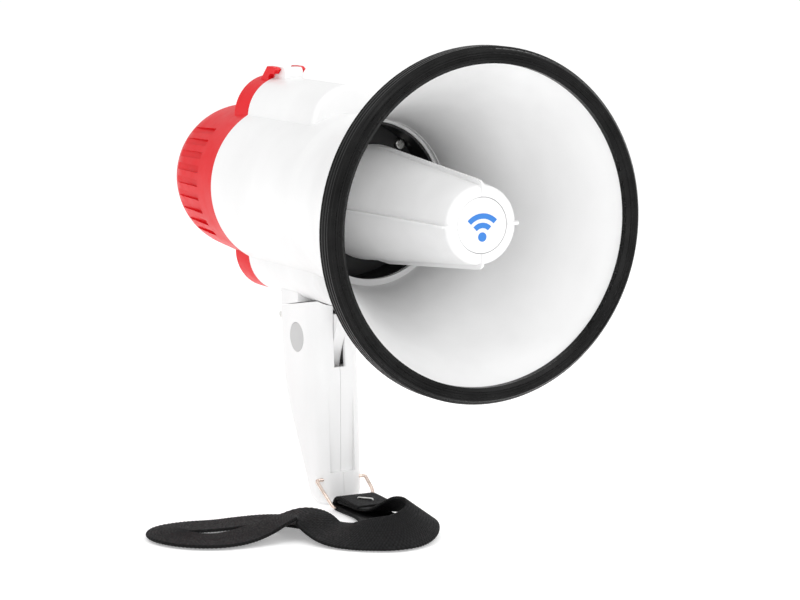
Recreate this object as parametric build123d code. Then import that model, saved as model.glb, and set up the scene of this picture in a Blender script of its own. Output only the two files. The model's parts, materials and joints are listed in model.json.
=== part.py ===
"""Handheld megaphone with a reflex horn, a folding pistol grip and a wrist strap.

Millimetres, +Z up, +X forward along the horn. The origin is the bottom centre of
the megaphone without its strap, on the surface that the grip's foot stands on.
Most pieces are drawn in the horn's own frame (X = 0 at the rim, Z = 0 on the horn's
axis) and placed by export().
"""
from build123d import *

import math
import os

os.makedirs("parts", exist_ok=True)

# ---------------------------------------------------------------- driving dimensions
RIM_R = 80.0                 # outer radius of the rubber rim
RIM_FRONT = 2.5              # rubber stands this far in front of the rim plane
RIM_X = 130.0                # rim plane in the part's frame
AXIS_Z = 152.5               # height of the horn's axis above the foot
WALL = 2.2                   # moulded wall thickness
SEAL = 0.45                  # rubber seal between body and rear cover
FIT = 0.05                   # running clearance, radial

TUBE_R = 40.6                # body tube
TUBE_FRONT = -107.2
SPLIT_X = -201.0             # joint between body and rear cover
LOBE_R = 20.0                # battery lobes above and below the tube
LOBE_Z = 34.0
LOBE_FRONT = -131.0
BAND_X = -216.4              # rear end of the cover's lobed band
DOME_FLAT_X = -259.6         # flat rear face of the cover
DOME_R = 37.2                # round part of the cover
DOME_X = -241.0

BELL_ROOT_R = 39.9           # inside radius where the bell meets the tube
BELL_MOUTH_R = 73.4
BELL_MOUTH_X = -4.0
NOSE_X = -4.7                # reflector, at its nose and at its tail
NOSE_R = 17.8
TAIL_R = 27.6
TAIL_X = -115.0
BADGE_R = 12.6
THROAT_R = 7.5
DRIVER_R = 29.0              # loudspeaker magnet and plates
SCREW_CIRCLE_R = 35.3        # screws that hold the driver housing

CELL_R = 7.1                 # round cells, two in each lobe
CELL_LENGTH = 49.2
CELL_X = -192.0
CELL_Y = 7.6
CELL_Z = 41.2

COVER_PIN_X = -196.6         # hinge of the rear cover, on top
COVER_PIN_Z = 57.2
COVER_PIN_R = 1.0
EAR_HALF = 8.3               # half width over the cover's two hinge ears
PIN_R = 1.5                  # pin of the folding grip

GRIP_HALF = 13.0             # half width of the grip
FOLD_X = -181.3              # hinge of the folding grip
FOLD_Z = -62.6
FOLD_R = 4.6
SLIT_X = -178.2              # the gap above the grip rises forward from here
SLIT_Z = -57.2
SLIT_SLOPE = 0.174
SLIT_HALF = 0.25
TRIGGER_HALF = 2.8
TRIGGER_X = -151.0
TRIGGER_Z = -88.0
FOOT_Z = -AXIS_Z
RING_X = -141.0
RING_Z = -139.5
RING_WIRE_R = 0.85
GRIP_SCREWS = [(-167.0, -98.0), (-152.0, -121.0)]
PLUG_X = -162.3
PLUG_Z = -71.4
PLUG_R = 7.2

STRAP_TUBE_R = 3.1           # round tube with the section of 20 x 1.5 webbing
# Route of the strap in the part's frame: out of the ring, round and back to it.
STRAP_ROUTE = [
    (4.8, 4.6, 3.5), (16, 4.4, 3.6), (30, 3.4, 4.6), (45, 4, 8), (56, 4.6, 10.5),
    (67, 3, 10.5), (77, -3, 9), (84, -12, 7.4), (86, -22, 6.6), (81, -31, 5.6),
    (73, -38, 4.4), (65, -42, 3.8), (56, -43.5, 5), (48, -45, 8.4), (41, -50, 10.2),
    (38, -59, 8.8), (37.5, -70, 6), (36.5, -82, 4), (32, -93, 3.6), (22.5, -101, 4),
    (12, -101, 4.2), (7, -91, 3.8), (9.5, -78, 3.6), (15, -66, 5), (22, -54, 5.2),
    (30, -45, 4.2), (40, -37, 3.6), (50, -29, 3.4), (54, -19, 3.6), (48, -10.5, 3.4),
    (37, -6.4, 3.6), (21, -5, 3.4), (4.8, -4.6, 3.5),
]


# ---------------------------------------------------------------- helpers
def export(shape, name, in_horn_frame=True):
    """Write one node, moved from the horn's frame to the part's frame."""
    if in_horn_frame:
        shape = Pos(RIM_X, 0, AXIS_Z) * shape
    export_step(shape, f"parts/{name}.step")


def face_of(points):
    return make_face(Polyline(*points, close=True))


def turned(points):
    """Solid of revolution about the horn's axis from (x, radius) points."""
    return revolve(face_of(points), Axis.X)


def tube_x(radius_out, radius_in, x_from, x_to, y=0.0, z=0.0):
    """Tube or, with no inner radius, a bar along X."""
    sketch = Circle(radius_out)
    if radius_in > 0:
        sketch -= Circle(radius_in)
    return extrude(Plane.YZ.offset(x_from) * Pos(y, z) * sketch, x_to - x_from)


def bar_y(radius, x, z, y_from, y_to):
    """Round bar along Y."""
    length = y_to - y_from
    return Pos(x, (y_from + y_to) / 2, z) * Rot(90, 0, 0) * Cylinder(radius, length)


def block(x_range, y_range, z_range):
    size = [b - a for a, b in (x_range, y_range, z_range)]
    centre = [(a + b) / 2 for a, b in (x_range, y_range, z_range)]
    return Pos(*centre) * Box(*size)


def plate_xz(points, y_from, y_to):
    """Flat plate from an outline in X and Z."""
    outline = Plane.XZ * face_of(points)
    return Pos(0, y_to, 0) * extrude(outline, y_to - y_from)


def lobed_outline(tube_r, lobe_r):
    sketch = Circle(tube_r)
    for side in (1, -1):
        sketch += Pos(0, side * LOBE_Z) * Circle(lobe_r)
    return sketch


def slit_height(x):
    return SLIT_Z + (x - SLIT_X) * SLIT_SLOPE


# ---------------------------------------------------------------- horn
def bell_radius(x):
    """Inside radius of the bell: slow at the root, wide at the mouth."""
    share = (x - TUBE_FRONT) / (BELL_MOUTH_X - TUBE_FRONT)
    return BELL_ROOT_R + (BELL_MOUTH_R - BELL_ROOT_R) * share ** 1.55


def make_bell():
    steps = 7
    xs = [TUBE_FRONT + (BELL_MOUTH_X - TUBE_FRONT) * i / steps for i in range(steps + 1)]
    inner = Spline(*[(x, bell_radius(x)) for x in xs])
    outer = Spline(*[(x, bell_radius(x) + WALL) for x in xs])
    mouth = Polyline(
        inner @ 1, (BELL_MOUTH_X + 1.9, BELL_MOUTH_R), (BELL_MOUTH_X + 1.9, 77.6),
        (BELL_MOUTH_X, 77.6), outer @ 1,
    )
    root = Polyline(
        outer @ 0, (TUBE_FRONT - 6.8, BELL_ROOT_R + WALL), (TUBE_FRONT - 6.8, TUBE_R + FIT),
        (TUBE_FRONT, TUBE_R + FIT), inner @ 0,
    )
    return revolve(make_face([inner, mouth, outer, root]), Axis.X)


def make_rim_trim():
    """Rubber channel pressed over the bell's flange, with round grooves."""
    flange_back = BELL_MOUTH_X - 0.02
    trim = turned([
        (-2.08, 72.3), (-2.08, 77.7), (flange_back, 77.7), (flange_back, 76.2),
        (-8.6, 76.2), (-8.6, 79.0), (-7.6, RIM_R), (-0.2, RIM_R),
        (RIM_FRONT - 0.3, 78.1), (RIM_FRONT, 76.9), (RIM_FRONT, 74.2), (1.3, 72.3),
    ])
    groove_places = [(RIM_FRONT + 0.25, 74.6), (RIM_FRONT + 0.25, 76.9), (1.4, 79.5)]
    groove_places += [(x, RIM_R + 0.3) for x in (-1.7, -4.1, -6.5)]
    for x, radius in groove_places:
        trim -= revolve(Pos(x, radius) * Circle(0.75), Axis.X)
    return trim


def make_reflector():
    """Bullet that turns the sound round, with four ribs and a collar on fins."""
    x = NOSE_X
    outline = face_of([
        (x - 1.8, 0), (x - 1.8, BADGE_R + 0.25), (x, BADGE_R + 0.25), (x, NOSE_R),
        (-109, TAIL_R), (TAIL_X, TAIL_R - 1.3), (TAIL_X, TAIL_R - 3.4),
        (-109, TAIL_R - 2.2), (x - 7, NOSE_R - 1.9), (x - 4.6, 0),
    ])
    for place, rounding in (((x, NOSE_R), 2.8), ((-109, TAIL_R), 7.0), ((x - 7, NOSE_R - 1.9), 3.0),
                            ((TAIL_X, TAIL_R - 1.3), 0.9), ((TAIL_X, TAIL_R - 3.4), 0.9)):
        corner = outline.vertices().sort_by_distance((*place, 0))[0]
        outline = fillet(corner, rounding)
    bullet = revolve(outline, Axis.X)
    rib = plate_xz([
        (-104, 25.4), (-104, 26.9), (-90, 27.4), (x - 4.5, 20.4), (x - 1.4, 19.9),
        (x + 0.5, 18.6), (x + 1.1, 16.4), (x + 1.1, 13.1), (x - 1.0, 13.1), (x - 1.0, 15.0),
        (x - 6, 17.0),
    ], -0.6, 0.6)
    fin = block((-62, -38), (-0.7, 0.7), (10.2, 22.4))
    for quarter in range(4):
        bullet += Rot(quarter * 90, 0, 0) * rib
        bullet += Rot(quarter * 90, 0, 0) * fin
    return bullet + tube_x(11.2, THROAT_R + 2.0 + FIT, -62, -38)


def make_badge_mark():
    """Plain sound waves: a dot and two arcs, raised on the badge."""
    mark = Pos(0, -5.2) * Circle(2.1)
    for radius in (5.2, 9.4):
        ring = Pos(0, -5.2) * (Circle(radius + 1.2) - Circle(radius - 1.2))
        mark += ring & (Pos(0, -5.2) * Rot(0, 0, 45) * Rectangle(40, 40, align=(Align.MIN, Align.MIN)))
    return extrude(Plane.YZ.offset(NOSE_X) * mark, 0.25)


def make_throat_tube():
    return turned([
        (-22, THROAT_R), (-22, THROAT_R + 2), (-121, THROAT_R + 2), (-124, 13),
        (-124, 18), (-126.9, 18), (-126.9, THROAT_R),
    ])


# ---------------------------------------------------------------- loudspeaker driver
def make_driver_housing():
    """Flange with a skirt behind it and a dark liner forward to the bell."""
    housing = turned([
        (-127, THROAT_R), (-127, 37.1), (-110.5, 37.1), (-110.5, 38.2), (-129.6, 38.2), (-129.6, 31.4), (-135.8, 31.4),
        (-135.8, 29.5), (-130.6, 27.6), (-130.4, THROAT_R),
    ])
    for hole in driver_screw_places():
        housing -= tube_x(1.7, 0, -131, -126, *hole) + tube_x(2.9, 0, -127, -120, *hole)
    return housing


def driver_screw_places():
    angles = [math.radians(45 + 90 * i) for i in range(4)]
    return [(SCREW_CIRCLE_R * math.cos(a), SCREW_CIRCLE_R * math.sin(a)) for a in angles]


def make_driver_screws():
    """Pan-head screws that hold the housing to the tube's bosses."""
    screws = []
    for y, z in driver_screw_places():
        head = fillet(tube_x(2.7, 0, -127, -125.2, y, z).edges().group_by(Axis.X)[-1], 0.8)
        head -= block((-125.7, -125), (y - 2, y + 2), (z - 0.4, z + 0.4))
        screws.append(head + tube_x(1.45, 0, -136, -127, y, z))
    return Compound(children=screws)


def make_diaphragm():
    return turned([
        (-131.2, 0), (-131.8, 5), (-133.4, 10), (-135.2, 12.2), (-133.8, 18), (-134.6, 24),
        (-134.6, 28.8), (-135.0, 28.8), (-135.0, 24), (-134.2, 18), (-135.6, 12.2),
        (-133.8, 9.8), (-132.2, 5), (-131.6, 0),
    ])


def make_back_plate():
    pole = [(-138, 0), (-138, 11.4), (-154, 11.4), (-154, DRIVER_R), (-158, DRIVER_R), (-158, 0)]
    return turned(pole)


# ---------------------------------------------------------------- body and batteries
def make_body():
    """Tube with a battery lobe above and below, open at both ends."""
    body = tube_x(TUBE_R, 0, SPLIT_X, TUBE_FRONT)
    for side in (1, -1):
        lobe = tube_x(LOBE_R, 0, SPLIT_X, LOBE_FRONT, 0, side * LOBE_Z)
        body += fillet(lobe.edges().group_by(Axis.X)[-1], 2.6)
    body += make_cover_knuckle()
    body -= tube_x(TUBE_R - WALL, 0, SPLIT_X - 1, TUBE_FRONT - 2.4)
    body -= tube_x(38.2, 0, TUBE_FRONT - 3, TUBE_FRONT + 1, 0.8, 1.3)
    for side in (1, -1):
        body -= tube_x(LOBE_R - 2.0, 0, SPLIT_X - 1, LOBE_FRONT - 2.2, 0, side * LOBE_Z)
    room = tube_x(TUBE_R - WALL + 0.5, 0, -141, -129.8)
    for y, z in driver_screw_places():
        boss = tube_x(3.7, 1.5, -141, -129.8, y, z) & room
        body += boss
    body -= block((SPLIT_X - 1, -197.5), (-4.2, 4.2), (-53.0, -51.4))
    return body - bar_y(COVER_PIN_R + FIT, COVER_PIN_X, COVER_PIN_Z, -20, 20)


def make_cover_knuckle():
    """Hinge knuckle of the rear cover, standing on the top lobe."""
    half = EAR_HALF - 3.3
    knuckle = block((COVER_PIN_X, -189.6), (-half, half), (50.5, 58.8))
    knuckle = fillet(knuckle.edges().filter_by(Axis.Y).group_by(Axis.Z)[-1][-1], 2.6)
    knuckle += block((SPLIT_X + 0.4, COVER_PIN_X), (-half, half), (50.5, COVER_PIN_Z))
    return knuckle + bar_y(1.6, COVER_PIN_X, COVER_PIN_Z, -half, half)


def make_battery_tray(side):
    """Cradle for two cells, with a wall at each end."""
    tray = block((-196.6, -137.4), (-15.2, 15.2), (32.4, 41.6))
    tray -= block((-193.9, -139.9), (-15.9, 15.9), (36.0, 50))
    tray += block((-193.9, -139.9), (-15.2, 15.2), (33.0, 41.0))
    for y in (-CELL_Y, CELL_Y):
        tray -= tube_x(CELL_R + 0.3, 0, -193.9, -139.9, y, CELL_Z)
    for x in (-196.6, -139.9):
        tray += block((x, x + 2.5), (-11.2, 11.2), (40, 47.4))
    return tray if side > 0 else mirror(tray, about=Plane.XY)


def make_cells(side):
    """Two round cells, side by side, with opposite poles forward."""
    cells = []
    for y, forward in ((-CELL_Y, 1), (CELL_Y, -1)):
        can = tube_x(CELL_R, 0, CELL_X, CELL_X + CELL_LENGTH, y, CELL_Z)
        can = fillet(can.edges(), 0.6)
        if forward > 0:
            can += tube_x(2.7, 0, CELL_X + CELL_LENGTH - 0.5, CELL_X + CELL_LENGTH + 1.2, y, CELL_Z)
        else:
            can += tube_x(2.7, 0, CELL_X - 1.2, CELL_X + 0.5, y, CELL_Z)
        cells.append(can if side > 0 else mirror(can, about=Plane.XY))
    return Compound(children=cells)


def make_contacts():
    """Sprung contact plates at both ends of each cell."""
    contacts = []
    for side in (1, -1):
        for y in (-CELL_Y, CELL_Y):
            for x in (-193.85, -140.25):
                plate = block((x, x + 0.3), (y - 4.5, y + 4.5), (CELL_Z - 4.5, CELL_Z + 4.5))
                contacts.append(plate if side > 0 else mirror(plate, about=Plane.XY))
    return Compound(children=contacts)


# ---------------------------------------------------------------- amplifier
BOARD_X = -176.0
BOARD_HALF = 22.0
POST_PLACES = [(y, z) for y in (-18.5, 18.5) for z in (-18.5, 18.5)]


def make_amplifier_board():
    board = block((BOARD_X - 1.6, BOARD_X), (-BOARD_HALF, BOARD_HALF), (-BOARD_HALF, BOARD_HALF))
    board = fillet(board.edges().filter_by(Axis.X), 2.0)
    for y, z in POST_PLACES:
        board -= tube_x(1.2, 0, BOARD_X - 3, BOARD_X + 3, y, z)
    return board


def make_board_posts():
    return Compound(children=[tube_x(2.4, 0, BOARD_X, -158, y, z) for y, z in POST_PLACES])


def make_heat_sink():
    sink = block((BOARD_X, BOARD_X + 3), (-12, 12), (4, 14))
    for y in range(-11, 12, 4):
        sink += block((BOARD_X + 3, BOARD_X + 12), (y - 0.6, y + 0.6), (4, 14))
    return sink


def make_capacitors():
    cans = [fillet(tube_x(4, 0, BOARD_X, BOARD_X + 13, y, -9).edges().group_by(Axis.X)[-1], 0.8)
            for y in (-10, 0, 10)]
    return Compound(children=cans)


# ---------------------------------------------------------------- rear cover
def dome_solid(inset, front=SPLIT_X):
    """Round part of the cover: a slight taper, a ball and a flat rear face."""
    radius = DOME_R - inset
    slope = 0.0749
    taper_end = (DOME_X - radius * math.sin(slope), radius * math.cos(slope))
    end = DOME_FLAT_X + inset
    corner = (end, math.sqrt(radius ** 2 - (end - DOME_X) ** 2))
    middle = math.atan2(corner[1], corner[0] - DOME_X) / 2 + (math.pi / 2 + slope) / 2
    bend = (DOME_X + radius * math.cos(middle), radius * math.sin(middle))
    start = (front, taper_end[1] + (front - taper_end[0]) * slope)
    sides = Polyline(corner, (end, 0), (front, 0), start, taper_end)
    outline = make_face([ThreePointArc(taper_end, bend, corner), sides])
    outline = fillet(outline.vertices().sort_by_distance((*corner, 0))[0], 3.0)
    return revolve(outline, Axis.X)


def make_rear_cover():
    """Cover with a lobed band, a fluted dome, hinge ears and a snap tab."""
    front = SPLIT_X - SEAL
    cover = dome_solid(0, front)
    band = Plane.YZ.offset(BAND_X) * lobed_outline(TUBE_R - 2.5, LOBE_R - 0.15)
    cover += extrude(band, front - BAND_X)
    cover -= dome_solid(WALL + 0.4)
    inner = Plane.YZ.offset(BAND_X + 2.0) * lobed_outline(30.0, LOBE_R - 2.2)
    cover -= extrude(inner, SPLIT_X - BAND_X)
    for flute in make_flutes():
        cover -= flute
    for y in (-EAR_HALF, EAR_HALF - 3.0):
        cover += make_cover_ear(y)
    cover += block((SPLIT_X - 4.0, SPLIT_X - 0.5), (-4.0, 4.0), (-52.6, -50.2))
    cover += block((SPLIT_X - 4.0, SPLIT_X + 2.8), (-4.0, 4.0), (-51.7, -50.2))
    cover += block((SPLIT_X + 1.4, SPLIT_X + 2.8), (-4.0, 4.0), (-52.5, -50.2))
    return cover - make_control_holes()


def make_cover_ear(y):
    """Hooked ear that leans forward over the body, with a blind hole for the pin."""
    ear = plate_xz([
        (-213.4, 49.0), (-202.0, 49.0), (-201.6, 53.8), (-199.6, 55.4), (-195.6, 55.9),
        (-193.1, 57.7), (-194.9, 58.7), (-196.6, 59.0), (-202.7, 59.0),
    ], y, y + 3.0)
    ear += bar_y(1.8, COVER_PIN_X, COVER_PIN_Z, y, y + 3.0)
    return ear - bar_y(COVER_PIN_R + 0.02, COVER_PIN_X, COVER_PIN_Z, -7.2, 7.2)


def make_cover_seal():
    """Flat rubber seal in the joint between the cover and the body."""
    outline = lobed_outline(TUBE_R - 0.35, LOBE_R - 0.35) - lobed_outline(TUBE_R - 1.3, LOBE_R - 1.3)
    return extrude(Plane.YZ.offset(SPLIT_X - SEAL) * outline, SEAL)


def make_flutes():
    """Finger flutes on both sides of the dome, deep in front and fading to the rear."""
    blade = plate_xz([(-221.5, 37.0), (-221.5, 45), (-250.5, 45), (-250.5, 36.0)], -1.75, 1.75)
    blades = []
    for side in (90, -90):
        for step in range(-4, 5):
            blades.append(Rot(side + step * 10.5, 0, 0) * blade)
    return blades


MIC_Z = 9.5
KNOB_Y, KNOB_Z = -13.0, -12.5
MODE_Y, MODE_Z = 13.0, -12.5
BUTTON_PLACES = {"record_button": -8.5, "siren_button": -18.5}


def make_control_holes():
    """Openings in the rear face for the microphone and the controls."""
    low = DOME_FLAT_X - 1
    high = DOME_FLAT_X + 6
    holes = tube_x(10.6, 0, low, DOME_FLAT_X + 1.2, 0, MIC_Z) + tube_x(8.0, 0, low, high, 0, MIC_Z)
    holes += tube_x(2.2, 0, low, high, KNOB_Y, KNOB_Z)
    holes += block((low, high), (MODE_Y - 1.7, MODE_Y + 1.7), (MODE_Z - 5.5, MODE_Z + 5.5))
    for z in BUTTON_PLACES.values():
        holes += tube_x(3.35, 0, low, high, 0, z)
    return holes


def make_mic_grille():
    grille = tube_x(10.4, 0, DOME_FLAT_X - 1.0, DOME_FLAT_X + 1.0, 0, MIC_Z)
    grille = fillet(grille.edges().group_by(Axis.X)[0], 0.7)
    holes = [(0.0, 0.0)]
    for ring in (1, 2, 3, 4):
        for i in range(6 * ring):
            angle = 2 * math.pi * i / (6 * ring)
            holes.append((2.05 * ring * math.cos(angle), 2.05 * ring * math.sin(angle)))
    cutter = Sketch() + [Pos(y, MIC_Z + z) * Circle(0.65) for y, z in holes]
    return grille - extrude(Plane.YZ.offset(DOME_FLAT_X - 2) * cutter, 5)


def make_volume_knob():
    """Knurled dial with a pointer notch, on the potentiometer's shaft."""
    rear = DOME_FLAT_X - 2.9
    knob = tube_x(6.6, 0, rear, DOME_FLAT_X - 0.35, KNOB_Y, KNOB_Z)
    knob = fillet(knob.edges().group_by(Axis.X)[0], 0.6)
    for i in range(18):
        angle = 2 * math.pi * i / 18
        y = KNOB_Y + 6.9 * math.cos(angle)
        z = KNOB_Z + 6.9 * math.sin(angle)
        knob -= tube_x(0.7, 0, rear - 1, DOME_FLAT_X, y, z)
    knob -= block((rear - 1, rear + 0.6), (KNOB_Y - 0.45, KNOB_Y + 0.45), (KNOB_Z + 1.5, KNOB_Z + 7))
    return knob + tube_x(PIN_R, 0, DOME_FLAT_X - 0.5, -249.0, KNOB_Y, KNOB_Z)


CONTROL_BOARD_X = -247.0


def make_control_board():
    board = tube_x(24.0, 0, CONTROL_BOARD_X, CONTROL_BOARD_X + 1.6)
    return board - tube_x(6.6, 0, CONTROL_BOARD_X - 1, CONTROL_BOARD_X + 3, 0, MIC_Z)


def make_potentiometer():
    pot = block((-253.6, CONTROL_BOARD_X), (KNOB_Y - 5, KNOB_Y + 5), (KNOB_Z - 5, KNOB_Z + 5))
    return pot - tube_x(PIN_R + FIT, 0, -260, -248.5, KNOB_Y, KNOB_Z)


def make_mode_knob():
    """Ribbed thumb piece of the slide switch."""
    low = MODE_Z - 5.2
    knob = block((DOME_FLAT_X - 1.6, DOME_FLAT_X + 4.5), (MODE_Y - 1.4, MODE_Y + 1.4), (low, low + 4.4))
    for i in range(3):
        z = low + 1.1 + 1.1 * i
        knob -= block((DOME_FLAT_X - 2, DOME_FLAT_X - 1.2), (MODE_Y - 2, MODE_Y + 2), (z - 0.25, z + 0.25))
    return knob


def make_mode_switch():
    """Housing of the slide switch behind its slot."""
    return block((-253.6, CONTROL_BOARD_X), (MODE_Y - 3.5, MODE_Y + 3.5), (MODE_Z - 6.5, MODE_Z + 6.5))


def make_button(z):
    button = tube_x(3.05, 0, DOME_FLAT_X - 1.5, -254.6, 0, z)
    return fillet(button.edges().group_by(Axis.X)[0], 0.6)


def make_button_switches():
    switches = [block((-252.6, CONTROL_BOARD_X), (-2.6, 2.6), (z - 2.6, z + 2.6))
                for z in BUTTON_PLACES.values()]
    return Compound(children=switches)


def make_mic_foam():
    return tube_x(6.2, 0, DOME_FLAT_X + 1.0, DOME_FLAT_X + 4.0, 0, MIC_Z)


def make_mic_capsule():
    capsule = tube_x(4.8, 0, DOME_FLAT_X + 4.0, DOME_FLAT_X + 10.5, 0, MIC_Z)
    return fillet(capsule.edges(), 0.4)


# ---------------------------------------------------------------- folding grip
GRIP_LEVELS = [               # height, rear edge, front edge, half width, corner radius
    (-46.0, -186.2, -143.6, 13.0, 9.0),
    (-72.0, -185.4, -142.4, 13.0, 9.0),
    (-90.0, -183.0, -141.0, 13.0, 9.0),
    (-106.0, -177.6, -139.8, 13.0, 9.0),
    (-122.0, -169.4, -139.0, 12.8, 9.0),
    (-138.0, -161.0, -137.9, 12.4, 8.6),
    (-146.5, -157.2, -137.4, 12.0, 8.2),
]


def grip_section(z, rear, front, half, corner, inset=0.0):
    sketch = RectangleRounded(front - rear - 2 * inset, 2 * (half - inset), corner - inset)
    return Plane.XY.offset(z) * Pos((rear + front) / 2, 0) * sketch


def grip_solid():
    """Outer form of the grip, with its rounded foot."""
    upper = loft([grip_section(*level) for level in GRIP_LEVELS])
    z, rear, front, half, corner = GRIP_LEVELS[-1]
    foot = loft([
        grip_section(z, rear, front, half, corner),
        grip_section(z - 3.0, rear + 1.0, front - 0.9, half - 0.8, corner - 0.6),
        grip_section(z - 5.2, rear + 1.9, front - 3.0, half - 2.4, corner - 1.8),
        grip_section(FOOT_Z, rear + 2.8, front - 5.0, half - 4.0, corner - 2.6),
    ])
    return upper + foot


def grip_room():
    """Hollow inside the grip; the foot stays solid round the strap ring."""
    levels = GRIP_LEVELS[:5] + [(-131.0, -164.8, -138.4, 12.6, 8.8)]
    sections = [grip_section(*level, inset=WALL) for level in levels]
    room = loft(sections)
    room -= block((-190, -130), (-15, 15), (-57.4, -40))
    return room - block((-142.4, -130), (-8, 8), (-137, -105))


def grip_top_cut():
    """Everything above the grip's sloping top, and the room round the lobe."""
    rear, front = -195.0, -125.0
    above = plate_xz([
        (rear, slit_height(rear) - SLIT_HALF), (front, slit_height(front) - SLIT_HALF),
        (front, -30), (rear, -30),
    ], -20, 20)
    lobe = tube_x(LOBE_R + 0.45, 0, -195, LOBE_FRONT + 6, 0, -LOBE_Z)
    corner = block((-195, FOLD_X), (-20, 20), (FOLD_Z, -40))
    corner -= bar_y(FOLD_R + 0.1, FOLD_X, FOLD_Z, -20, 20)
    return above + lobe + corner


def tongue_room():
    """Slot for the bracket's tongue over the whole fold."""
    reach = FOLD_R + 0.45
    return block((-195, FOLD_X + reach), (-6.0, 6.0), (FOLD_Z - reach, -40))


def front_panel():
    """Shallow panel down the front of the grip, above the foot."""
    return block((-140.9, -130), (-6.8, 6.8), (-136.0, -86.0))


def make_grip():
    """Both halves of the grip in one, before the split."""
    grip = grip_solid() - grip_room()
    cheeks = block((-187, -172.5), (-8.2, 8.2), (-71.5, -55)) & grip_solid()
    grip += cheeks
    for x, z in GRIP_SCREWS:
        grip += bar_y(3.6, x, z, -10.9, 10.9)
    grip += bar_y(3.4, TRIGGER_X, TRIGGER_Z, -10.9, -7.4)
    grip += bar_y(3.4, TRIGGER_X, TRIGGER_Z, 3.2, 10.9)
    grip -= grip_top_cut()
    grip -= tongue_room()
    grip -= block((-149.6, -130), (-3.1, 3.1), (-84.4, -50))
    grip -= front_panel()
    grip -= bar_y(PIN_R + 0.02, FOLD_X, FOLD_Z, -12.5, 12.5)
    grip -= bar_y(1.25, TRIGGER_X, TRIGGER_Z, -9, 9)
    grip -= bar_y(RING_WIRE_R + 0.08, RING_X, RING_Z, -15, -7.8)
    grip -= bar_y(RING_WIRE_R + 0.08, RING_X, RING_Z, 7.8, 15)
    grip -= bar_y(PLUG_R + 0.12, PLUG_X, PLUG_Z, -15, -11.6)
    for x, z in GRIP_SCREWS:
        grip -= bar_y(1.4, x, z, -8, 15)
        grip -= bar_y(3.0, x, z, 10.2, 15)
    return grip


def make_grip_half(grip, side):
    """Left or right shell, with half of the fine seam groove."""
    seam = 0.08
    span = (seam, 20) if side > 0 else (-20, -seam)
    return grip & block((-200, -120), span, (-160, -40))


def make_plug():
    """Round cap in the right shell, over the clamp screw."""
    cap = bar_y(PLUG_R, PLUG_X, PLUG_Z, -13.15, -11.6)
    return fillet(cap.edges().group_by(Axis.Y)[0], 0.3)


def make_grip_screws():
    screws = []
    for x, z in GRIP_SCREWS:
        head = fillet(bar_y(2.7, x, z, 10.2, 12.2).edges().group_by(Axis.Y)[-1], 0.7)
        head -= block((x - 2, x + 2), (11.7, 13), (z - 0.35, z + 0.35))
        head -= block((x - 0.35, x + 0.35), (11.7, 13), (z - 2, z + 2))
        screws.append(head + bar_y(1.35, x, z, -7, 10.2))
    return Compound(children=screws)


def make_bracket():
    """Block under the lower lobe with the tongue that holds the grip's pin."""
    z, rear, front, half, corner = GRIP_LEVELS[0]
    flank = extrude(grip_section(-64, rear, front, half, corner), 24)
    flank &= block((-190, -161.0), (-15, 15), (-70, -30))
    under = plate_xz([
        (-195, -57.5), (SLIT_X - 1.7, -57.5), (-150, slit_height(-150) + SLIT_HALF),
        (-150, -75), (-195, -75),
    ], -20, 20)
    flank -= under
    tongue = block((FOLD_X - FOLD_R, FOLD_X + FOLD_R), (-5.6, 5.6), (FOLD_Z, -50))
    tongue += bar_y(FOLD_R, FOLD_X, FOLD_Z, -5.6, 5.6)
    bracket = flank + tongue
    bracket -= tube_x(LOBE_R + 0.02, 0, -200, -120, 0, -LOBE_Z)
    return bracket - bar_y(PIN_R + FIT, FOLD_X, FOLD_Z, -8, 8)


# ---------------------------------------------------------------- trigger
def make_trigger():
    """Lever in the front slot: sunk at its pivot, standing out at the top."""
    front = Spline((-147.6, -85.6), (-144.4, -75.0), (-140.2, -66.0), (-137.6, -58.4))
    outline = Polyline(
        front @ 1, (-139.4, -57.9), (-149.0, -58.9), (-153.0, -64), (-154.0, -86), front @ 0,
    )
    lever = Plane.XZ * make_face([front, outline])
    lever = Pos(0, TRIGGER_HALF, 0) * extrude(lever, 2 * TRIGGER_HALF)
    lever += bar_y(3.2, TRIGGER_X, TRIGGER_Z, -TRIGGER_HALF, TRIGGER_HALF)
    return lever - bar_y(1.25, TRIGGER_X, TRIGGER_Z, -4, 4)


def make_talk_switch():
    """Small switch that the trigger's back reaches at full pull."""
    switch = block((-171.5, -161.5), (-3.2, 3.2), (-80, -67))
    return switch + block((-161.5, -160.4), (-1.2, 1.2), (-72, -69))


def make_trigger_spring():
    """Torsion spring beside the lever: a coil round the pin and two legs."""
    coil = Helix(pitch=1.0, height=3.4, radius=2.3)
    start = Plane(origin=coil @ 0, z_dir=coil % 0)
    wire = sweep(start * Circle(0.3), coil)
    return Pos(TRIGGER_X, -3.4, TRIGGER_Z) * Rot(90, 0, 0) * wire


# ---------------------------------------------------------------- ring and strap
def make_ring():
    """Wire bail: its two ends sit in the foot and its bar carries the strap."""
    path = FilletPolyline(
        (RING_X, -8.3, RING_Z), (RING_X, -13.5, RING_Z), (-133.6, -13.2, -144.2),
        (-127.0, -11.6, -150.2), (-127.0, 11.6, -150.2), (-133.6, 13.2, -144.2),
        (RING_X, 13.5, RING_Z), (RING_X, 8.3, RING_Z), radius=1.3,
    )
    start = Plane(origin=path @ 0, z_dir=path % 0)
    return sweep(start * Circle(RING_WIRE_R), path)


def corner_radii(points):
    """Largest arc for each corner: 0.45 of the shorter run over tan(half the turn)."""
    radii = []
    for before, corner, after in zip(points, points[1:], points[2:]):
        into = Vector(*corner) - Vector(*before)
        out_of = Vector(*after) - Vector(*corner)
        half_turn = math.radians(into.get_angle(out_of)) / 2
        radii.append(0.45 * min(into.length, out_of.length) / math.tan(half_turn))
    return radii


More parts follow.
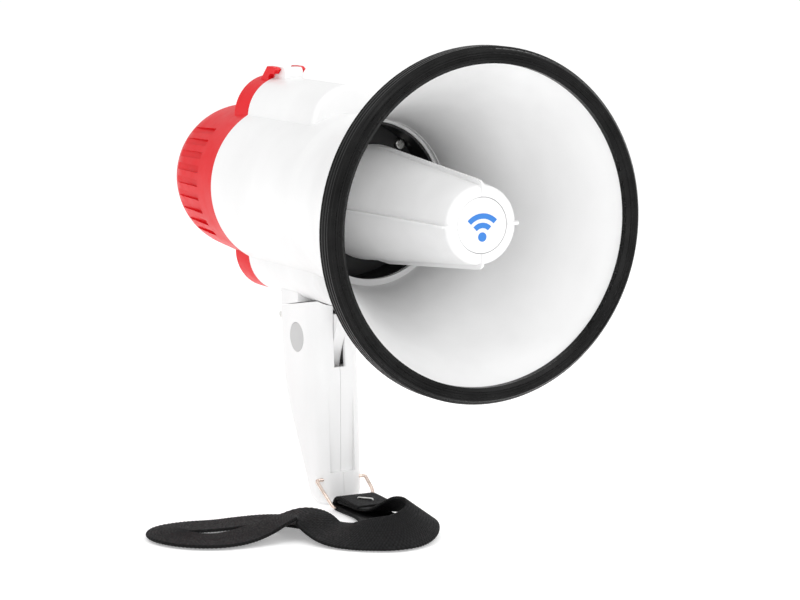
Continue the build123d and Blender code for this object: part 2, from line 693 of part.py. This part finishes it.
def make_strap():
    """Loop of webbing, as a tube of the webbing's section."""
    radii = corner_radii(STRAP_ROUTE)
    path = FilletPolyline(*STRAP_ROUTE, radius=radii)
    print("strap length", round(path.length, 1), "radii", [round(r, 1) for r in radii])
    start = Plane(origin=path @ 0, z_dir=path % 0)
    tube = sweep(start * Circle(STRAP_TUBE_R), path)
    share = tube.volume / (math.pi * STRAP_TUBE_R ** 2 * path.length)
    print("strap volume share", round(share, 4))
    return tube


def make_staple():
    """Staple across the webbing where both ends are joined."""
    path = FilletPolyline(
        (12.5, -3.0, 6.0), (12.5, -3.0, 8.0), (18.5, 2.0, 8.0), (18.5, 2.0, 6.0), radius=0.7,
    )
    start = Plane(origin=path @ 0, z_dir=path % 0)
    return sweep(start * Circle(0.45), path)


# ---------------------------------------------------------------- writing the pieces
def export_horn():
    export(make_bell(), "horn_bell")
    export(make_rim_trim(), "rim_trim")
    export(make_reflector(), "horn_reflector")
    badge = tube_x(BADGE_R, 0, NOSE_X - 1.8, NOSE_X)
    export(fillet(badge.edges().group_by(Axis.X)[-1], 0.5), "nose_badge")
    export(make_badge_mark(), "badge_mark")
    export(make_throat_tube(), "throat_tube")


def export_driver():
    export(make_driver_housing(), "driver_housing")
    export(make_driver_screws(), "driver_screws")
    export(make_diaphragm(), "driver_diaphragm")
    export(tube_x(12.7, 12.0, -146, -135.9), "voice_coil")
    export(tube_x(DRIVER_R, 13.2, -140, -136), "driver_top_plate")
    export(tube_x(DRIVER_R, 15.5, -154, -140), "driver_magnet")
    export(make_back_plate(), "driver_back_plate")


def export_body():
    export(make_body(), "main_body")
    export(make_battery_tray(1), "battery_tray_top")
    export(make_battery_tray(-1), "battery_tray_bottom")
    export(make_cells(1), "battery_cells_top")
    export(make_cells(-1), "battery_cells_bottom")
    export(make_contacts(), "battery_contacts")
    export(make_amplifier_board(), "amplifier_board")
    export(make_board_posts(), "board_posts")
    export(make_heat_sink(), "heat_sink")
    export(make_capacitors(), "capacitors")
    export(make_bracket(), "handle_bracket")


def export_cover():
    export(make_rear_cover(), "rear_cover")
    export(make_cover_seal(), "cover_seal")
    export(bar_y(COVER_PIN_R, COVER_PIN_X, COVER_PIN_Z, -7.15, 7.15), "cover_hinge_pin")
    export(make_mic_grille(), "mic_grille")
    export(make_mic_foam(), "mic_foam")
    export(make_mic_capsule(), "mic_capsule")
    export(make_control_board(), "control_board")
    export(make_potentiometer(), "potentiometer")
    export(make_mode_switch(), "mode_switch")
    export(make_button_switches(), "button_switches")
    export(make_volume_knob(), "volume_knob")
    export(make_mode_knob(), "mode_knob")
    for name, z in BUTTON_PLACES.items():
        export(make_button(z), name)


def export_grip():
    grip = make_grip()
    export(make_grip_half(grip, -1), "handle_shell_right")
    export(make_grip_half(grip, 1), "handle_shell_left")
    export(make_plug(), "handle_plug")
    export(make_grip_screws(), "handle_screws")
    export(bar_y(PIN_R, FOLD_X, FOLD_Z, -12.4, 12.4), "handle_pin")
    export(make_trigger(), "trigger")
    export(bar_y(1.2, TRIGGER_X, TRIGGER_Z, -8.8, 8.8), "trigger_pin")
    export(make_trigger_spring(), "trigger_spring")
    export(make_talk_switch(), "talk_switch")
    export(make_ring(), "strap_ring")
    export(make_strap(), "wrist_strap", in_horn_frame=False)
    export(make_staple(), "strap_staple", in_horn_frame=False)


export_horn()
export_driver()
export_body()
export_cover()
export_grip()
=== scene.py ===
"""Looks of the handheld megaphone: camera, studio, materials and the webbing strap.

Everything is in metres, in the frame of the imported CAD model.
"""
import json
import math

import bpy
import numpy as np
from mathutils import Matrix, Vector

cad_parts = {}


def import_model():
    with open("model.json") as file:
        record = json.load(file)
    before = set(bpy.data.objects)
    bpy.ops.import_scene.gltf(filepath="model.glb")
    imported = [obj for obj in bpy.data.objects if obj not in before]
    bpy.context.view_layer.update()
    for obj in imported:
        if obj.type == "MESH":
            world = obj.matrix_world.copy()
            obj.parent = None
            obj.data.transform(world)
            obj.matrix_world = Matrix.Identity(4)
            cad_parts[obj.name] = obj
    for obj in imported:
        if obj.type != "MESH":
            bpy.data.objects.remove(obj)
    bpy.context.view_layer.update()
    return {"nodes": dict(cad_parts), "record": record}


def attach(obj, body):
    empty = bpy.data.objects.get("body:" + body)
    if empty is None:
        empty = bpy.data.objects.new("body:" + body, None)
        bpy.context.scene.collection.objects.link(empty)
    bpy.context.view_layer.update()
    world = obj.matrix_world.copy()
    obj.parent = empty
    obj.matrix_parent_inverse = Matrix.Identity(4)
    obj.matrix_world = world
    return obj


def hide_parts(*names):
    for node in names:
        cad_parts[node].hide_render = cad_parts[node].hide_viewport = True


MM = 0.001

STRAP_WIDTH = 0.020
STRAP_THICKNESS = 0.0015
RIB_PITCH = 0.0014           # weft ridges along the webbing
WARP_COUNT = 13              # warp columns across the webbing
RELIEF = 0.0004              # height of the ridges
EDGE_SWELL = 0.00018         # how far the edges bulge at each ridge
STRAP_STEP = 0.0003          # spacing of the ribbons' cross-sections

# The strap's middle line in millimetres, and the direction from its outer edge to
# its inner edge. It leaves the fold, goes round the loop and ends in the fold again.
STRAP = [
    ((4.8, 0.0, 5.2), (0, -1, 0)),
    ((14, 0.3, 5.2), (0, -1, 0)),
    ((24, 0.5, 4.8), (0, -1, 0)),
    ((35, 1, 5.6), (0, -1, 0.1)),
    ((45, 2, 8.5), (-0.12, -0.93, 0.32)),
    ((54, 3.5, 11.0), (-0.3, -0.8, 0.5)),
    ((66, 3, 11.0), (-0.37, -0.7, 0.6)),
    ((77, -3, 9.4), (-0.4, -0.6, 0.68)),
    ((84, -12, 7.9), (-0.55, -0.5, 0.68)),
    ((86, -22, 7.2), (-0.8, -0.2, 0.58)),
    ((81, -31, 6.7), (-0.85, 0.1, 0.48)),
    ((73, -38, 5.4), (-0.85, 0.35, 0.33)),
    ((65, -42, 4.3), (-0.5, 0.8, 0.25)),
    ((56, -43.5, 5.0), (-0.1, 0.97, 0.12)),
    ((48, -45, 8.6), (0, 0.97, 0.08)),
    ((41, -50, 10.4), (-0.4, 0.88, 0.05)),
    ((40.5, -59, 8.4), (-0.9, 0.4, 0.05)),
    ((42, -70, 5.0), (-0.98, 0.1, 0.05)),
    ((43, -82, 2.8), (-0.98, 0, 0.07)),
    ((41, -93, 2.1), (-0.95, 0.25, 0.06)),
    ((33, -103, 2.1), (-0.6, 0.75, 0.06)),
    ((20, -107.5, 2.1), (0, 1, 0.05)),
    ((9, -102, 2.0), (0.75, 0.65, 0.03)),
    ((7.5, -91, 1.9), (0.97, 0.2, 0)),
    ((12, -79, 2.1), (0.95, -0.2, 0)),
    ((14, -66, 2.8), (0.95, -0.2, 0)),
    ((18, -55, 3.6), (0.9, -0.35, 0)),
    ((27, -46, 4.0), (0.75, -0.65, 0)),
    ((40, -37, 3.2), (0.6, -0.75, 0)),
    ((50, -29, 2.7), (0.85, -0.5, 0)),
    ((54, -19, 2.7), (1, 0.1, 0)),
    ((48, -10, 2.6), (0.6, 0.8, 0)),
    ((37, -4.5, 2.2), (0.1, 1, 0)),
    ((21, -1, 1.8), (0, 1, 0)),
    ((4.8, 0, 1.7), (0, 1, 0)),
]


# ---------------------------------------------------------------- camera and studio
def make_camera():
    """Long lens, in front of the horn and to its right, a little above it."""
    back = Vector((0.8669, -0.4764, 0.1466)).normalized()
    right = Vector((0.4816, 0.8764, 0)).normalized()
    up = back.cross(right)
    camera = bpy.data.objects.new("camera", bpy.data.cameras.new("camera"))
    bpy.context.scene.collection.objects.link(camera)
    camera.data.sensor_width = 36
    camera.data.lens = 135
    camera.data.clip_start = 0.05
    camera.data.clip_end = 60
    turn = Matrix((right, up, back)).transposed().to_4x4()
    camera.matrix_world = Matrix.Translation((1.2681, -0.6697, 0.3152)) @ turn
    bpy.context.scene.camera = camera


def make_light(name, place, target, size, power):
    """Square-on area light, in watts."""
    data = bpy.data.lights.new(name, "AREA")
    data.shape = "RECTANGLE"
    data.size, data.size_y = size
    data.energy = power
    light = bpy.data.objects.new(name, data)
    bpy.context.scene.collection.objects.link(light)
    light.location = place
    aim = Vector(target) - Vector(place)
    light.rotation_mode = "QUATERNION"
    light.rotation_quaternion = aim.to_track_quat("-Z", "Y")


def make_studio():
    """White room, four soft lights and a pale floor that is a little self-lit."""
    world = bpy.data.worlds.new("studio")
    world.use_nodes = True
    background = world.node_tree.nodes["Background"]
    background.inputs["Color"].default_value = (1, 1, 1, 1)
    background.inputs["Strength"].default_value = 0.79
    bpy.context.scene.world = world
    bpy.context.scene.view_settings.view_transform = "Standard"
    make_light("key", (0.3, -0.6, 1.25), (-0.02, 0, 0.12), (0.8, 0.6), 2.5)
    make_light("fill", (1.1, 0.45, 1.0), (0.08, 0, 0.13), (0.9, 0.7), 4.6)
    make_light("low fill", (1.3, -0.9, 0.25), (0, 0, 0.1), (1.2, 0.8), 4.5)
    make_light("rim", (-0.8, 0.7, 1.0), (0.1, 0, 0.2), (0.5, 0.5), 2.2)
    bpy.ops.mesh.primitive_plane_add(size=24, location=(0, 0, -0.0003))
    floor = bpy.context.object
    floor.name = "floor"
    floor.data.materials.append(floor_material())


# ---------------------------------------------------------------- materials
class Shader:
    """One node material round a Principled shader."""

    def __init__(self, name, colour, roughness, **sockets):
        self.material = bpy.data.materials.new(name)
        self.material.use_nodes = True
        self.tree = self.material.node_tree
        self.principled = self.tree.nodes["Principled BSDF"]
        self.set("Base Color", (*colour, 1))
        self.set("Roughness", roughness)
        for socket, value in sockets.items():
            self.set(socket.replace("_", " "), value)

    def set(self, socket, value):
        self.principled.inputs[socket].default_value = value

    def add(self, kind, **values):
        node = self.tree.nodes.new(kind)
        for key, value in values.items():
            if hasattr(node, key):
                setattr(node, key, value)
            else:
                node.inputs[key.replace("_", " ")].default_value = value
        return node

    def link(self, source, target):
        self.tree.links.new(source, target)

    def place(self, stretch=(1, 1, 1)):
        """Object coordinates, in metres, with an optional stretch."""
        coordinates = self.add("ShaderNodeTexCoord")
        mapping = self.add("ShaderNodeMapping")
        mapping.inputs["Scale"].default_value = stretch
        self.link(coordinates.outputs["Object"], mapping.inputs["Vector"])
        return mapping.outputs["Vector"]

    def noise(self, scale, detail=4.0, stretch=(1, 1, 1)):
        node = self.add("ShaderNodeTexNoise", Scale=scale, Detail=detail)
        self.link(self.place(stretch), node.inputs["Vector"])
        return node.outputs["Fac"]

    def vary(self, socket, factor, low, high):
        """Drive a socket between two numbers or two colours."""
        if isinstance(low, tuple):
            ramp = self.add("ShaderNodeValToRGB")
            ramp.color_ramp.elements[0].position = 0.35
            ramp.color_ramp.elements[1].position = 0.65
            ramp.color_ramp.elements[0].color = (*low, 1)
            ramp.color_ramp.elements[1].color = (*high, 1)
            self.link(factor, ramp.inputs["Fac"])
            self.link(ramp.outputs["Color"], self.principled.inputs[socket])
            return
        spread = self.add("ShaderNodeMapRange", From_Min=0.3, From_Max=0.7, To_Min=low, To_Max=high)
        self.link(factor, spread.inputs["Value"])
        self.link(spread.outputs["Result"], self.principled.inputs[socket])

    def bump(self, height, strength, distance):
        """Add one more layer of bump over those already there."""
        node = self.add("ShaderNodeBump", Strength=strength, Distance=distance)
        self.link(height, node.inputs["Height"])
        normal = self.principled.inputs["Normal"]
        if normal.is_linked:
            self.link(normal.links[0].from_socket, node.inputs["Normal"])
        self.link(node.outputs["Normal"], normal)


def shade(colour, factor):
    """Lighter or darker version of a colour."""
    return tuple(min(1.0, c * factor) for c in colour)


def moulded(name, colour, roughness=0.36, grain=0.25, spread=0.03, **sockets):
    """Moulded plastic: faint flow marks, spark texture and uneven gloss."""
    shader = Shader(name, colour, roughness, **sockets)
    flow = shader.noise(28, 3, (1, 1, 0.5))
    shader.vary("Base Color", flow, shade(colour, 1 - spread), shade(colour, 1 + spread))
    shader.vary("Roughness", shader.noise(140, 4), roughness - 0.05, roughness + 0.06)
    shader.bump(shader.noise(2600, 2), grain, 0.00003)
    shader.bump(shader.noise(60, 2), 0.12, 0.0002)
    return shader.material


def rubber(name, colour):
    """Extruded rubber: dusty patches, uneven gloss and a fine grain."""
    shader = Shader(name, colour, 0.3, Specular_IOR_Level=0.12)
    shader.vary("Base Color", shader.noise(90, 5), shade(colour, 0.7), shade(colour, 1.5))
    shader.vary("Roughness", shader.noise(210, 4), 0.22, 0.36)
    shader.bump(shader.noise(1500, 3), 0.35, 0.00006)
    return shader.material


def metal(name, colour, roughness, stretch=(1, 1, 1), scale=700):
    """Drawn or plated metal with fine lines and small stains."""
    shader = Shader(name, colour, roughness, Metallic=1.0)
    shader.vary("Base Color", shader.noise(260, 5), shade(colour, 0.82), shade(colour, 1.08))
    shader.vary("Roughness", shader.noise(scale, 3, stretch), roughness * 0.7, roughness * 1.5)
    shader.bump(shader.noise(scale, 2, stretch), 0.2, 0.00002)
    return shader.material


def woven(name, colour):
    """Polyester yarn: painted shade in the weave's valleys and painted highlight on its ridges,
    both driven by the mesh's weave height; fine fibres.
    """
    shader = Shader(name, colour, 0.5, Specular_IOR_Level=0.2)
    height = shader.add("ShaderNodeAttribute", attribute_name="weave")
    # base colour runs from painted shade in the valleys to painted highlight on the ridges,
    # following the weave height
    shader.vary("Base Color", height.outputs["Fac"], shade(colour, 0.1), shade(colour, 2.2))
    shader.vary("Roughness", shader.noise(900, 3), 0.48, 0.75)
    shader.bump(shader.noise(5200, 3), 0.5, 0.00008)
    return shader.material


def foam(name, colour):
    """Open-celled foam."""
    shader = Shader(name, colour, 0.95)
    cells = shader.add("ShaderNodeTexVoronoi", Scale=900.0)
    shader.link(shader.place(), cells.inputs["Vector"])
    shader.vary("Base Color", cells.outputs["Distance"], shade(colour, 0.4), shade(colour, 1.8))
    shader.bump(cells.outputs["Distance"], 0.8, 0.0004)
    return shader.material


def floor_material():
    shader = Shader("floor_paper", (0.93, 0.93, 0.93), 0.9)
    shader.vary("Base Color", shader.noise(3, 2), (0.925, 0.925, 0.925), (0.935, 0.935, 0.935))
    shader.set("Specular IOR Level", 0.1)
    shader.set("Emission Color", (1, 1, 1, 1))
    shader.set("Emission Strength", 0.3)
    return shader.material


def make_materials():
    """One material for every slot of the record."""
    white = (0.87, 0.87, 0.87)
    return {
        "white_abs": moulded("white_abs", white, 0.34, Specular_IOR_Level=0.4),
        "red_abs": moulded("red_abs", (0.74, 0.004, 0.01), 0.36, Specular_IOR_Level=0.14),
        "rim_rubber": rubber("rim_rubber", (0.006, 0.006, 0.006)),
        "grey_abs": moulded("grey_abs", (0.55, 0.55, 0.55), 0.5, grain=0.35),
        "black_abs": moulded("black_abs", (0.012, 0.012, 0.013), 0.45, grain=0.4, spread=0.2),
        "blue_print": moulded("blue_print", (0.03, 0.2, 0.62), 0.4),
        "steel": metal("steel", (0.62, 0.62, 0.6), 0.32),
        "ferrite": moulded("ferrite", (0.06, 0.06, 0.06), 0.6, grain=0.6, spread=0.2),
        "paper": moulded("paper", (0.5, 0.44, 0.33), 0.8, grain=0.8, spread=0.12),
        "copper": metal("copper", (0.8, 0.36, 0.18), 0.3),
        "cell_wrap": moulded("cell_wrap", (0.03, 0.05, 0.12), 0.3, grain=0.1, spread=0.2),
        "board": moulded("board", (0.02, 0.16, 0.06), 0.4, grain=0.4, spread=0.15),
        "heat_sink": metal("heat_sink", (0.75, 0.75, 0.77), 0.35, (1, 1, 0.05)),
        "foam": foam("foam", (0.03, 0.03, 0.03)),
        "ring_wire": metal("ring_wire", (0.82, 0.68, 0.6), 0.2),
        "webbing": woven("webbing", (0.0035, 0.0035, 0.004)),
    }


# ---------------------------------------------------------------- strap
def spline_points(name, controls):
    """Points read from a NURBS curve through these given control points."""
    data = bpy.data.curves.new(name, "CURVE")
    data.dimensions = "3D"
    data.resolution_u = 60
    spline = data.splines.new("NURBS")
    spline.points.add(len(controls) - 1)
    for point, place in zip(spline.points, controls):
        point.co = (*place, 1)
    spline.order_u = 3
    spline.use_endpoint_u = True
    curve = bpy.data.objects.new(name, data)
    mesh = bpy.data.meshes.new_from_object(curve)
    points = np.array([v.co[:] for v in mesh.vertices])
    bpy.data.objects.remove(curve)
    bpy.data.meshes.remove(mesh)
    return points


def unit(vectors):
    """Vectors scaled to length one."""
    return vectors / np.linalg.norm(vectors, axis=-1, keepdims=True)


def evenly(points, extra=None):
    """Points at STRAP_STEP along a curve, with their distances and a second set to match."""
    run = np.r_[0, np.cumsum(np.linalg.norm(np.diff(points, axis=0), axis=1))]
    along = np.linspace(0, run[-1], int(run[-1] / STRAP_STEP) + 1)
    sets = [points] if extra is None else [points, extra]
    spaced = [np.stack([np.interp(along, run, one[:, k]) for k in range(3)], 1) for one in sets]
    return (*spaced, along)


def strap_frames():
    """Middle line, side and normal directions, evenly spaced along the strap."""
    centre = spline_points("strap_route", [[v * MM for v in place] for place, _ in STRAP])
    side = spline_points("strap_sides", [Vector(turn).normalized() for _, turn in STRAP])
    centre, side, along = evenly(centre, side)
    ahead = unit(np.gradient(centre, axis=0))
    side = unit(side - (side * ahead).sum(1, keepdims=True) * ahead)
    return centre, side, np.cross(ahead, side), along


def weave_height(along, across):
    """Relief of the weave, 0 to 1: ridges set half a pitch off in every other column."""
    column = (across + 0.5) * WARP_COUNT
    shift = np.where(np.floor(column) % 2 == 0, 0.0, 0.5)
    ridge = 0.5 + 0.5 * np.cos(2 * math.pi * (along / RIB_PITCH + shift))
    yarn = np.sin(math.pi * (column % 1.0)) ** 0.6
    return 0.25 + 0.75 * ridge * yarn


def ribbon_section(columns):
    """Outline of the webbing's section: across in -0.5..0.5, and which face."""
    face = np.linspace(-0.485, 0.485, columns)
    edge = [(0.5, 0.45), (0.505, 0.0), (0.5, -0.45)]
    section = [(a, 1.0) for a in face] + edge
    section += [(a, -1.0) for a in face[::-1]] + [(-a, -h) for a, h in edge]
    return section


def ribbon_rings(centre, side, normal, along):
    """Cross-sections of the ribbon and the height of the weave at each of their points."""
    rings = []
    weave = []
    for across, face in ribbon_section(WARP_COUNT * 3 + 1):
        weave.append(weave_height(along, across))
        swell = EDGE_SWELL * np.cos(2 * math.pi * along / RIB_PITCH) * (abs(across) >= 0.5)
        out = across * STRAP_WIDTH + np.sign(across) * swell
        height = face * (STRAP_THICKNESS / 2 - RELIEF / 2 + weave[-1] * RELIEF)
        rings.append(centre + side * out[:, None] + normal * height[:, None])
    return np.stack(rings, 1), np.stack(weave, 1)


def ribbon_mesh(name, centre, side, normal, along):
    """Closed ribbon of webbing with woven relief on both faces and rope-like edges."""
    rings, weave = ribbon_rings(centre, side, normal, along)
    count, size = rings.shape[:2]
    index = np.arange(count * size).reshape(count, size)
    after = np.roll(index, -1, axis=1)
    quads = np.stack([index[:-1], index[1:], after[1:], after[:-1]], -1).reshape(-1, 4)
    faces = quads.tolist() + [index[0].tolist(), index[-1][::-1].tolist()]
    mesh = bpy.data.meshes.new(name)
    mesh.from_pydata(rings.reshape(-1, 3).tolist(), [], faces)
    mesh.shade_smooth()
    # the weave height also drives the webbing material's painted shade in the valleys and painted
    # highlight on the ridges
    heights = mesh.attributes.new("weave", "FLOAT", "POINT")
    heights.data.foreach_set("value", weave.ravel().astype(np.float32))
    mesh.update()
    piece = bpy.data.objects.new(name, mesh)
    bpy.context.scene.collection.objects.link(piece)
    return piece


def make_strap(materials):
    """Loop of webbing that replaces the plain CAD strap and swings with the ring."""
    centre, side, normal, along = strap_frames()
    strap = ribbon_mesh("wrist_strap_webbing", centre, side, normal, along)
    strap.data.materials.append(materials["webbing"])
    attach(strap, "ring")
    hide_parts("wrist_strap")
    fold = make_strap_fold(materials)


def make_strap_fold(materials):
    """Short band folded round the ring's bar, with the strap's two ends inside."""
    under = [(26, 0, 0.95), (14, 0, 0.95), (6, 0, 0.95)]
    round_bar = [(0.9, 0, 0.95), (-0.8, 0, 2.6), (1.1, 0, 5.8)]
    over = [(4.5, 0, 7.1), (11, 0, 6.9), (18, 0, 6.5), (25, 0, 6.0)]
    centre = spline_points("fold_route", [[v * MM for v in p] for p in under + round_bar + over])
    centre, along = evenly(centre)
    ahead = unit(np.gradient(centre, axis=0))
    side = np.tile([0.0, 1.0, 0.0], (len(centre), 1))
    fold = ribbon_mesh("strap_fold", centre, side, np.cross(ahead, side), along)
    fold.data.materials.append(materials["webbing"])
    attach(fold, "ring")
    return fold


# ---------------------------------------------------------------- assembly
def dress_nodes(frame, materials):
    """Give every CAD node the material of its slot."""
    slots = {part["node"]: part["material_slot"] for part in frame["record"]["subparts"]}
    for name, node in frame["nodes"].items():
        node.data.materials.clear()
        node.data.materials.append(materials[slots[name]])


def main():
    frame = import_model()
    materials = make_materials()
    make_camera()
    make_studio()
    dress_nodes(frame, materials)
    make_strap(materials)


main()
